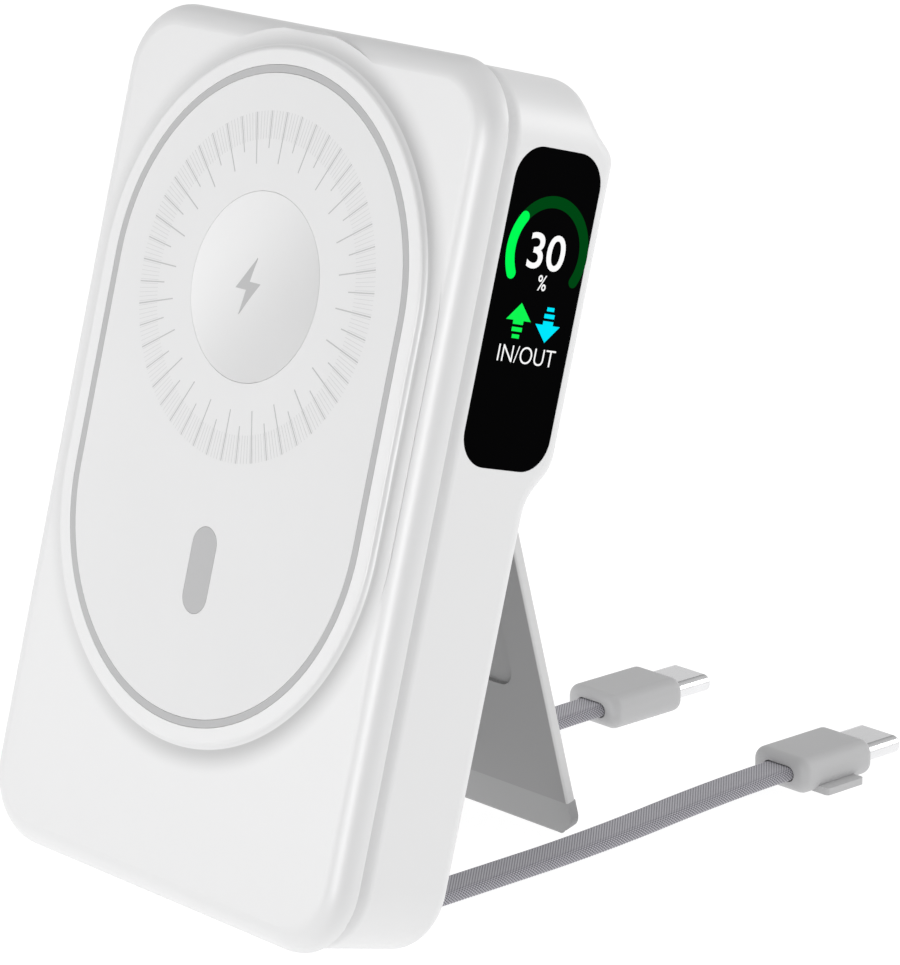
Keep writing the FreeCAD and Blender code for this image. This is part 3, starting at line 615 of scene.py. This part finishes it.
def outline_plate(outlines: Iterable[Sequence[tuple[float, float]]], thickness: float,
                  matrix: Matrix) -> bpy.types.Mesh:
    """Thin plates from flat outlines.

    Args:
        outlines: each plate's corners in order, anticlockwise seen from outside.
        thickness: how thick, below the drawing's plane.
        matrix: from the drawing to its place.

    Returns:
        One closed mesh.
    """
    made = bmesh.new()
    for outline in outlines:
        top = [made.verts.new((x, y, 0.0)) for x, y in outline]
        low = [made.verts.new((x, y, -thickness)) for x, y in outline]
        made.faces.new(top)
        made.faces.new(low[::-1])
        for index, corner in enumerate(top):
            after = (index + 1) % len(top)
            made.faces.new((corner, low[index], low[after], top[after]))
    made.normal_update()
    bmesh.ops.triangulate(made, faces=[f for f in made.faces if len(f.verts) > 4])
    bmesh.ops.transform(made, matrix=matrix, verts=made.verts)
    bmesh.ops.recalc_face_normals(made, faces=made.faces)
    mesh = bpy.data.meshes.new("plate")
    made.to_mesh(mesh)
    made.free()
    return mesh


def evaluated_mesh(source: bpy.types.Object) -> bpy.types.Mesh:
    """A plain mesh of what an object looks like with its modifiers; the object is removed."""
    bpy.context.view_layer.update()
    graph = bpy.context.evaluated_depsgraph_get()
    mesh = bpy.data.meshes.new_from_object(source.evaluated_get(graph), depsgraph=graph)
    bpy.data.objects.remove(source)
    return mesh


# ---- cords ---------------------------------------------------------------------------------
@dataclass
class FlatCord:
    """One flat braided cord, from the sleeve in the back to its plug."""

    side: int
    width: float = 5.6 * MM
    thickness: float = 2.0 * MM
    offset: float = 19.0 * MM
    route: tuple[tuple[float, float], ...] = (
        (-0.01093, 0.00318), (-0.00308, 0.0010), (0.00507, 0.0010), (0.02978, 0.0010),
        (0.05478, 0.0026), (0.06728, 0.0026))
    step: float = 0.13 * MM
    around: int = 144
    rib_pitch: float = 0.50 * MM
    ribs_around: int = 28
    weave_depth: float = 0.10 * MM
    rib_crest: float = 0.08
    lattice_start: float = 0.29
    lattice_blend: float = 0.10

    @property
    def hand(self) -> str:
        """Which side the cord is on."""
        return "right" if self.side > 0 else "left"

    def route_points(self) -> list[tuple[float, float, float]]:
        """The control points of the cord's line, in metres."""
        return [(self.side * self.offset, y, z) for y, z in self.route]

    def centreline(self) -> np.ndarray:
        """Points along the cord's own smooth spline."""
        curve = bpy.data.curves.new("cord_line", "CURVE")
        curve.dimensions = "3D"
        curve.resolution_u = 32
        spline = curve.splines.new("NURBS")
        points = self.route_points()
        spline.points.add(len(points) - 1)
        for control, place in zip(spline.points, points):
            control.co = (*place, 1.0)
        spline.order_u = 3
        spline.use_endpoint_u = True
        holder = bpy.data.objects.new("cord_line", curve)
        bpy.context.scene.collection.objects.link(holder)
        line = evaluated_mesh(holder)
        return np.array([v.co for v in line.vertices], float)

    def even_line(self) -> np.ndarray:
        """The centreline in equal steps."""
        line = self.centreline()
        reach = np.concatenate([[0], np.cumsum(np.linalg.norm(np.diff(line, axis=0), axis=1))])
        count = int(reach[-1] / self.step)
        places = np.linspace(0, reach[-1], count + 1)
        return np.stack([np.interp(places, reach, line[:, axis]) for axis in range(3)], 1)

    def section(self) -> tuple[np.ndarray, np.ndarray, np.ndarray]:
        """The cord's section.

        Returns:
            Places across and up, the outward directions there, and distances round the edge.
        """
        flat = self.width - self.thickness
        radius = self.thickness / 2
        edge = 2 * flat + 2 * math.pi * radius
        distances = np.arange(self.around) * edge / self.around
        places, outward = [], []
        for distance in distances:
            if distance < flat:
                place, way = (distance - flat / 2, radius), (0.0, 1.0)
            elif distance < flat + math.pi * radius:
                turn = math.pi / 2 - (distance - flat) / radius
                way = (math.cos(turn), math.sin(turn))
                place = (flat / 2 + radius * way[0], radius * way[1])
            elif distance < 2 * flat + math.pi * radius:
                place, way = (flat / 2 - (distance - flat - math.pi * radius), -radius), (0.0, -1.0)
            else:
                turn = -math.pi / 2 - (distance - 2 * flat - math.pi * radius) / radius
                way = (math.cos(turn), math.sin(turn))
                place = (-flat / 2 + radius * way[0], radius * way[1])
            places.append(place)
            outward.append(way)
        return np.array(places), np.array(outward), distances

    def weave(self, along: np.ndarray, around: np.ndarray, across: np.ndarray) -> np.ndarray:
        """Height of the braid, from 0 in its hollows to 1 on its crowns.

        Args:
            along: distance along the cord.
            around: distance round the section.
            across: distance from the middle of the wide face.

        Returns:
            The height at each place.
        """
        edge = 2 * (self.width - self.thickness) + math.pi * self.thickness
        slant = around * self.ribs_around / edge
        rising = along / self.rib_pitch + slant
        falling = along / self.rib_pitch - slant
        ribs = np.abs(np.cos(np.pi * rising)) ** 1.5 * (
            1 - self.rib_crest + self.rib_crest * np.cos(2 * np.pi * falling))
        lattice = np.abs(np.cos(np.pi * rising) * np.cos(np.pi * falling))
        rim = np.clip((np.abs(across) / self.width - self.lattice_start) / self.lattice_blend, 0, 1)
        return ribs * (1 - rim) + lattice * rim

    def build(self) -> bpy.types.Object:
        line = self.even_line()
        places, outward, distances = self.section()
        tangent = np.gradient(line, axis=0)
        tangent /= np.linalg.norm(tangent, axis=1)[:, None]
        sideways = np.array([1.0, 0.0, 0.0])
        lift = np.cross(sideways, tangent)
        along = np.arange(len(line)) * self.step
        height = self.weave(along[:, None], distances[None, :], places[None, :, 0])
        shrink = -self.weave_depth * (1 - height)
        across = places[None, :, 0] + outward[None, :, 0] * shrink
        above = places[None, :, 1] + outward[None, :, 1] * shrink
        points = (line[:, None, :] + across[..., None] * sideways
                  + above[..., None] * lift[:, None, :])
        mesh = tube_mesh(points)
        flags = mesh.attributes.new("weave", "FLOAT", "POINT")
        flags.data.foreach_set("value", height.ravel().astype(np.float32))
        piece = finished_piece(mesh, f"braided_cord_{self.hand}", Finish.CORD)
        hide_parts(f"cable_{self.hand}")
        length = float(np.linalg.norm(np.diff(line, axis=0), axis=1).sum())
        log.info("cord %s is %.1f mm long", self.hand, length / MM)
        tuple(self.route_points()[0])
        return piece


def tube_mesh(points: np.ndarray) -> bpy.types.Mesh:
    """A closed tube through rings of points.

    Args:
        points: rings by points by three.

    Returns:
        The mesh, its two ends closed by a face each.
    """
    rings, around = points.shape[:2]
    index = np.arange(rings * around).reshape(rings, around)
    after = np.roll(index, -1, axis=1)
    quads = np.stack([index[:-1], index[1:], after[1:], after[:-1]], -1).reshape(-1, 4)
    faces = quads.tolist()
    faces.append(index[0].tolist())
    faces.append(index[-1][::-1].tolist())
    mesh = bpy.data.meshes.new("tube")
    mesh.from_pydata(points.reshape(-1, 3).tolist(), [], faces)
    made = bmesh.new()
    made.from_mesh(mesh)
    bmesh.ops.recalc_face_normals(made, faces=made.faces)
    made.to_mesh(mesh)
    made.free()
    return mesh


# ---- charging face -------------------------------------------------------------------------
@dataclass
class TickRing:
    """The ring of fine radial lines round the dome."""

    frame: BodyFrame
    centre: float = 14.2
    outer: float = 22.6
    height: float = 0.03
    rows: tuple[tuple[str, Finish, int, float, float, float], ...] = (
        ("ticks_long", Finish.TICK, 24, 15.9, 0.16, 0.0),
        ("ticks_middle", Finish.TICK, 24, 17.8, 0.14, 7.5),
        ("ticks_fine", Finish.FINE_TICK, 240, 19.0, 0.07, 0.75),
    )

    def tree(self) -> bpy.types.GeometryNodeTree:
        """Geometry nodes that set radial bars round a circle."""
        tree = bpy.data.node_groups.new("radial_bars", "GeometryNodeTree")
        face = tree.interface
        for name, kind in (("Count", "NodeSocketInt"), ("Inner", "NodeSocketFloat"),
                           ("Outer", "NodeSocketFloat"), ("Width", "NodeSocketFloat"),
                           ("Height", "NodeSocketFloat"), ("Start", "NodeSocketFloat"),
                           ("Finish", "NodeSocketMaterial")):
            face.new_socket(name, in_out="INPUT", socket_type=kind)
        face.new_socket("Geometry", in_out="OUTPUT", socket_type="NodeSocketGeometry")
        nodes, link = tree.nodes, tree.links.new
        given = nodes.new("NodeGroupInput")
        result = nodes.new("NodeGroupOutput")

        def maths(operation: str, first: Any, second: Any) -> Any:
            """One Math node."""
            made = nodes.new("ShaderNodeMath")
            made.operation = operation
            for socket, value in zip(made.inputs, (first, second)):
                if isinstance(value, bpy.types.NodeSocket):
                    link(value, socket)
                else:
                    socket.default_value = value
            return made.outputs[0]

        length = maths("SUBTRACT", given.outputs["Outer"], given.outputs["Inner"])
        middle = maths("MULTIPLY", maths("ADD", given.outputs["Outer"], given.outputs["Inner"]), 0.5)
        size = nodes.new("ShaderNodeCombineXYZ")
        link(length, size.inputs[0])
        link(given.outputs["Width"], size.inputs[1])
        link(given.outputs["Height"], size.inputs[2])
        bar = nodes.new("GeometryNodeMeshCube")
        link(size.outputs[0], bar.inputs["Size"])
        shift = nodes.new("ShaderNodeCombineXYZ")
        link(middle, shift.inputs[0])
        moved = nodes.new("GeometryNodeTransform")
        link(bar.outputs["Mesh"], moved.inputs["Geometry"])
        link(shift.outputs[0], moved.inputs["Translation"])
        spots = nodes.new("GeometryNodePoints")
        link(given.outputs["Count"], spots.inputs["Count"])
        order = nodes.new("GeometryNodeInputIndex")
        step = maths("DIVIDE", 2 * math.pi, given.outputs["Count"])
        angle = maths("ADD", maths("MULTIPLY", order.outputs[0], step), given.outputs["Start"])
        turn = nodes.new("ShaderNodeCombineXYZ")
        link(angle, turn.inputs[2])
        rotation = nodes.new("FunctionNodeEulerToRotation")
        link(turn.outputs[0], rotation.inputs[0])
        set_bars = nodes.new("GeometryNodeInstanceOnPoints")
        link(spots.outputs[0], set_bars.inputs["Points"])
        link(moved.outputs[0], set_bars.inputs["Instance"])
        link(rotation.outputs[0], set_bars.inputs["Rotation"])
        real = nodes.new("GeometryNodeRealizeInstances")
        link(set_bars.outputs[0], real.inputs[0])
        dressed = nodes.new("GeometryNodeSetMaterial")
        link(real.outputs[0], dressed.inputs["Geometry"])
        link(given.outputs["Finish"], dressed.inputs["Material"])
        link(dressed.outputs[0], result.inputs[0])
        return tree

    def bars(self, tree: bpy.types.GeometryNodeTree, name: str, finish: Finish,
             **values: float) -> bpy.types.Object:
        """One set of equal lines.

        Args:
            tree: the geometry nodes.
            name: the piece's name.
            finish: the lines' finish.
            values: the tree's named inputs.

        Returns:
            The piece.
        """
        holder = bpy.data.objects.new(name, bpy.data.meshes.new(name))
        bpy.context.scene.collection.objects.link(holder)
        modifier = holder.modifiers.new("bars", "NODES")
        modifier.node_group = tree
        inputs = {"Outer": self.outer, "Height": self.height, "Finish": finish.material(), **values}
        for item in tree.interface.items_tree:
            if item.in_out == "INPUT" and item.name in inputs:
                modifier[item.identifier] = inputs[item.name]
        mesh = evaluated_mesh(holder)
        drawing = Matrix(((1, 0, 0, 0), (0, 0, -1, 0), (0, 1, 0, self.centre), (0, 0, 0, 1)))
        mesh.transform(self.frame.matrix() @ drawing)
        return finished_piece(mesh, name, finish, smooth=False)

    def build(self) -> None:
        """Each row of lines: its name, finish, count, inner radius, width and first angle in degrees."""
        tree = self.tree()
        for name, finish, count, inner, width, start in self.rows:
            self.bars(tree, name, finish, Count=count, Inner=inner, Width=width, Start=math.radians(start))


# ---- display -------------------------------------------------------------------------------
@dataclass(frozen=True)
class Caption:
    """Lettering on the read-out: its middle, its width and height in millimetres, and its extra weight."""

    name: str
    text: str
    centre: tuple[float, float]
    size: tuple[float, float]
    weight: float


@dataclass
class SideDisplay:
    """What the display shows, drawn in millimetres as seen from the right (depth, height)."""

    frame: BodyFrame
    plane: float
    gauge_centre: tuple[float, float] = (15.35, 26.24)
    gauge_radius: float = 6.3
    gauge_stroke: float = 1.5
    gauge_ends: tuple[float, float] = (210.0, -30.0)
    charge: float = 0.285
    arrow_half: float = 2.15
    arrow_head: float = 2.2
    stub: tuple[float, float] = (0.88, 0.5)
    bars: tuple[tuple[float, float], ...] = ((0.88, 0.55), (0.62, 0.5))
    bar_gap: float = 0.35
    arrow_in: tuple[float, float] = (12.75, 19.6)
    arrow_out: tuple[float, float] = (17.9, 15.1)
    captions: tuple[Caption, ...] = (
        Caption("charge_digits", "30", (15.3, 26.27), (6.3, 4.55), 0.010),
        Caption("percent_sign", "%", (15.5, 22.4), (1.5, 1.95), 0.004),
        Caption("in_out_label", "IN/OUT", (15.3, 13.2), (9.9, 2.15), -0.010),
    )
    thickness: float = 0.02
    track_drop: float = 0.025

    def matrix(self, drop: float = 0.0) -> Matrix:
        """From the drawing to its place on the window, or a little below it."""
        return self.frame.side_matrix(self.plane - drop)

    def arc(self, start: float, end: float, steps: int = 40) -> list[tuple[float, float]]:
        """A round-ended arc between two angles in degrees."""
        cx, cy = self.gauge_centre
        half = self.gauge_stroke / 2
        a, b = math.radians(start), math.radians(end)

        def at(angle: float, radius: float) -> tuple[float, float]:
            """A point round the gauge."""
            return cx + radius * math.cos(angle), cy + radius * math.sin(angle)

        def cap(angle: float, first: float, last: float) -> list[tuple[float, float]]:
            """A half-round end."""
            x, y = at(angle, self.gauge_radius)
            return [(x + half * math.cos(t), y + half * math.sin(t))
                    for t in np.linspace(first, last, 10)[1:-1]]

        outer = [at(t, self.gauge_radius + half) for t in np.linspace(a, b, steps)]
        inner = [at(t, self.gauge_radius - half) for t in np.linspace(b, a, steps)]
        return outer + cap(b, b, b - math.pi) + inner + cap(a, a + math.pi, a)

    def arrow(self, x: float, tip: float, way: int) -> list[list[tuple[float, float]]]:
        """An arrow head on a short stub, with two narrowing bars behind it.

        Args:
            x: its place across.
            tip: the height of its tip.
            way: +1 for up, -1 for down.

        Returns:
            The outlines.
        """
        base = tip - way * self.arrow_head
        half, length = self.stub
        end = base - way * length
        outlines = [[(x, tip), (x - self.arrow_half, base), (x - half, base), (x - half, end),
                     (x + half, end), (x + half, base), (x + self.arrow_half, base)]]
        for half, height in self.bars:
            near = end - way * self.bar_gap
            end = near - way * height
            outlines.append([(x - half, near), (x - half, end), (x + half, end), (x + half, near)])
        return outlines

    def words(self, caption: Caption) -> bpy.types.Object:
        """Lettering fitted to its width and height."""
        curve = bpy.data.curves.new(caption.name, "FONT")
        curve.body = caption.text
        curve.offset = caption.weight
        curve.resolution_u = 6
        holder = bpy.data.objects.new(caption.name, curve)
        bpy.context.scene.collection.objects.link(holder)
        mesh = evaluated_mesh(holder)
        places = np.array([v.co for v in mesh.vertices])[:, :2]
        low, high = places.min(0), places.max(0)
        scale = np.array(caption.size) / (high - low)
        middle = (low + high) / 2
        fit = (Matrix.Translation((*caption.centre, 0)) @ Matrix.Diagonal((scale[0], scale[1], 1, 1))
               @ Matrix.Translation((-middle[0], -middle[1], 0)))
        made = bmesh.new()
        made.from_mesh(mesh)
        bmesh.ops.remove_doubles(made, verts=made.verts, dist=1e-6)
        grown = bmesh.ops.extrude_face_region(made, geom=made.faces[:])
        moved = [item for item in grown["geom"] if isinstance(item, bmesh.types.BMVert)]
        bmesh.ops.translate(made, verts=moved, vec=(0, 0, -self.thickness))
        bmesh.ops.recalc_face_normals(made, faces=made.faces)
        made.to_mesh(mesh)
        made.free()
        mesh.transform(self.matrix() @ fit)
        return finished_piece(mesh, caption.name, Finish.WHITE_LIGHT, smooth=False)

    def shape(self, name: str, outlines: list[list[tuple[float, float]]], finish: Finish,
              drop: float = 0.0) -> bpy.types.Object:
        """Flat lit shapes."""
        plate = outline_plate(outlines, self.thickness, self.matrix(drop))
        return finished_piece(plate, name, finish, smooth=False)

    def build(self) -> None:
        """The gauge, the number, the arrows and the label."""
        full, empty = self.gauge_ends
        lit_end = full + (empty - full) * self.charge
        self.shape("gauge_lit", [self.arc(full, lit_end)], Finish.GREEN_LIGHT)
        self.shape("gauge_track", [self.arc(lit_end, empty)], Finish.DIM_GREEN, self.track_drop)
        self.shape("arrow_in", self.arrow(*self.arrow_in, 1), Finish.ARROW_GREEN)
        self.shape("arrow_out", self.arrow(*self.arrow_out, -1), Finish.ARROW_CYAN)
        for caption in self.captions:
            self.words(caption)


# ---- finishes of the solid pieces ----------------------------------------------------------
CASING = ("front_cover", "rear_shell", "power_button")
NODE_FINISHES: dict[Finish, tuple[str, ...]] = {
    Finish.PAD: ("charging_pad",),
    Finish.PRINT: ("pad_ring_inlay", "bolt_inlay", "alignment_mark"),
    Finish.SCREEN: ("display_window",),
    Finish.PANEL: ("display_panel",),
    Finish.BOARD: ("display_board", "main_board"),
    Finish.COPPER: ("charging_coil", "board_capacitors"),
    Finish.FERRITE: ("ferrite_sheet", "power_inductors"),
    Finish.MAGNET: ("magnet_ring", "alignment_magnet"),
    Finish.FOIL: ("battery_cell",),
    Finish.FOAM: ("battery_foam", "battery_tape"),
    Finish.BLACK: ("charge_chips", "button_switch", "plug_tongue_left", "plug_tongue_right"),
    Finish.STEEL: ("board_screws", "hinge_bracket", "hinge_pin", "hinge_washers", "bracket_screws"),
    Finish.FOOT: ("kickstand_foot_pad",),
    Finish.SOFT: ("cable_grommet_left", "cable_grommet_right",
                  "cable_anchor_left", "cable_anchor_right"),
    Finish.PLUG: ("plug_body_left", "plug_body_right"),
    Finish.NICKEL: ("plug_tip_left", "plug_tip_right"),
    Finish.GOLD: ("plug_contacts_left", "plug_contacts_right"),
}


def leg_with_painted_shade(frame: BodyFrame, record: dict[str, Any]) -> LegPaintedShade:
    """The leg's finish with its painted shade, turned as the leg stands by its hinge's place and range."""
    hinge = next(joint for joint in record["behaviour"]["joints"] if joint["name"] == "kickstand_hinge")
    folded, opened = hinge["range_deg"]
    return LegPaintedShade(frame, Vector(hinge["pos_m"]), math.radians(opened - folded), Finish.LEG.value)


def dress_nodes(nodes: dict[str, bpy.types.Object], frame: BodyFrame, record: dict[str, Any]) -> None:
    """Give every solid piece its finish."""
    # The casing, the leg and the dome get materials with painted shade in their base colour.
    dressings = [(ShellPaintedShade(frame, Finish.SHELL.value).material(), CASING),
                 (leg_with_painted_shade(frame, record).material(nodes["kickstand_leg"].data), ("kickstand_leg",)),
                 (DomePaintedShade(frame, Finish.PAD.value).material(), ("dome_cap",))]
    dressings += [(finish.material(), names) for finish, names in NODE_FINISHES.items()]
    for material, names in dressings:
        for name in names:
            nodes[name].data.materials.clear()
            nodes[name].data.materials.append(material)
    log.info("%d solid pieces dressed", sum(len(names) for _, names in dressings))


# ---- studio --------------------------------------------------------------------------------
@dataclass(frozen=True)
class Lamp:
    """One soft light: where it hangs in metres, its width and height, and its watts."""

    name: str
    place: tuple[float, float, float]
    size: tuple[float, float]
    power: float
    gloss_only: bool = False

    def build(self, aim: Sequence[float]) -> None:
        """Hang the light, turned to its aim.

        Args:
            aim: what it points at, in metres.
        """
        data = bpy.data.lights.new(self.name, "AREA")
        data.shape = "RECTANGLE"
        data.size, data.size_y = self.size
        data.energy = self.power
        lamp = bpy.data.objects.new(self.name, data)
        lamp.location = self.place
        lamp.rotation_euler = (Vector(aim) - Vector(self.place)).to_track_quat("-Z", "Y").to_euler()
        lamp.visible_diffuse = not self.gloss_only
        bpy.context.scene.collection.objects.link(lamp)


@dataclass
class Studio:
    """A pale floor, soft lights and the camera."""

    camera_place: tuple[float, float, float] = (0.42554, -0.36134, 0.21048)
    camera_turn: tuple[float, float, float] = (74.289, 0.294, 47.948)
    lens: float = 165.4
    shift: tuple[float, float] = (-0.0018, -0.0017)
    sky: tuple[tuple[float, float], ...] = (
        (0.0, 0.95), (0.29, 0.95), (0.42, 0.25), (0.75, 0.6), (0.95, 1.05))
    aim: tuple[float, float, float] = (0.0, 0.0, 0.06)
    shade_side: tuple[float, float, float] = (-0.64, -0.77, 0.0)
    shade_span: tuple[float, float] = (0.3, 0.95)
    shade_glow: float = 0.35
    floor_tones: tuple[float, float] = (0.24, 0.26)
    floor_glow: float = 0.90
    lights: tuple[Lamp, ...] = (
        Lamp("key", (-0.32, -0.52, 0.15), (0.30, 0.30), 1.25),
        Lamp("side", (0.50, 0.75, 0.46), (0.40, 0.40), 2.0),
        Lamp("gloss_strip", (0.44, -1.04, 0.28), (0.44, 0.50), 7.0, gloss_only=True),
    )

    def camera(self) -> None:
        """Set the camera."""
        data = bpy.data.cameras.new("camera")
        data.lens = self.lens
        data.sensor_fit = "AUTO"
        data.sensor_width = 36.0
        data.shift_x, data.shift_y = self.shift
        data.clip_start = 0.01
        camera = bpy.data.objects.new("camera", data)
        camera.location = self.camera_place
        camera.rotation_euler = [math.radians(angle) for angle in self.camera_turn]
        bpy.context.scene.collection.objects.link(camera)
        bpy.context.scene.camera = camera

    def floor(self) -> None:
        """A wide pale floor just under the object."""
        made = bmesh.new()
        bmesh.ops.create_grid(made, x_segments=4, y_segments=4, size=6.0)
        mesh = bpy.data.meshes.new("floor")
        made.to_mesh(mesh)
        made.free()
        shader = Shader("pale_floor")
        darker, lighter = ((tone, tone, tone) for tone in self.floor_tones)
        mesh.materials.append(shader.surface(
            Base_Color=shader.mix(shader.noise(2.0, 2.0), darker, lighter), Roughness=0.9,
            Specular_IOR_Level=0.0, Emission_Color=(1.0, 1.0, 1.0), Emission_Strength=self.floor_glow))
        floor = bpy.data.objects.new("floor", mesh)
        floor.location.z = -0.0001
        bpy.context.scene.collection.objects.link(floor)

    def world(self) -> None:
        """White light from all round, dimmer in a band above the horizon and at the front left."""
        world = bpy.data.worlds.new("world")
        world.use_nodes = True
        nodes, link = world.node_tree.nodes, world.node_tree.links.new
        where = nodes.new("ShaderNodeTexCoord")
        split = nodes.new("ShaderNodeSeparateXYZ")
        bands = nodes.new("ShaderNodeValToRGB")
        Shader.set_ramp(bands.color_ramp, [(height, (glow, glow, glow)) for height, glow in self.sky])
        link(where.outputs["Generated"], split.inputs[0])
        link(split.outputs["Z"], bands.inputs["Fac"])
        link(bands.outputs["Color"], nodes["Background"].inputs["Color"])
        towards = nodes.new("ShaderNodeVectorMath")
        towards.operation = "DOT_PRODUCT"
        towards.inputs[1].default_value = self.shade_side
        link(where.outputs["Generated"], towards.inputs[0])
        shade = nodes.new("ShaderNodeMapRange")
        shade.interpolation_type = "SMOOTHSTEP"
        names = ("From Min", "From Max", "To Min", "To Max")
        for name, value in zip(names, (*self.shade_span, 1.0, self.shade_glow)):
            shade.inputs[name].default_value = value
        link(towards.outputs["Value"], shade.inputs["Value"])
        link(shade.outputs["Result"], nodes["Background"].inputs["Strength"])
        bpy.context.scene.world = world
        bpy.context.scene.view_settings.view_transform = "Standard"

    def build(self) -> None:
        """Everything but the camera."""
        self.floor()
        self.world()
        for lamp in self.lights:
            lamp.build(self.aim)


def main() -> None:
    """Build every piece around the solid model."""
    logging.basicConfig(level=logging.INFO, format="%(name)s: %(message)s")
    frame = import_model()
    studio = Studio()
    studio.camera()
    for side in (-1, 1):
        FlatCord(side).build()
    body = BodyFrame.from_record(frame["record"])
    dress_nodes(frame["nodes"], body, frame["record"])
    TickRing(body).build()
    window_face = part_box("display_window")[1].x / MM
    SideDisplay(body, window_face + READOUT_PROUD).build()
    studio.build()


if __name__ == "__main__":
    main()
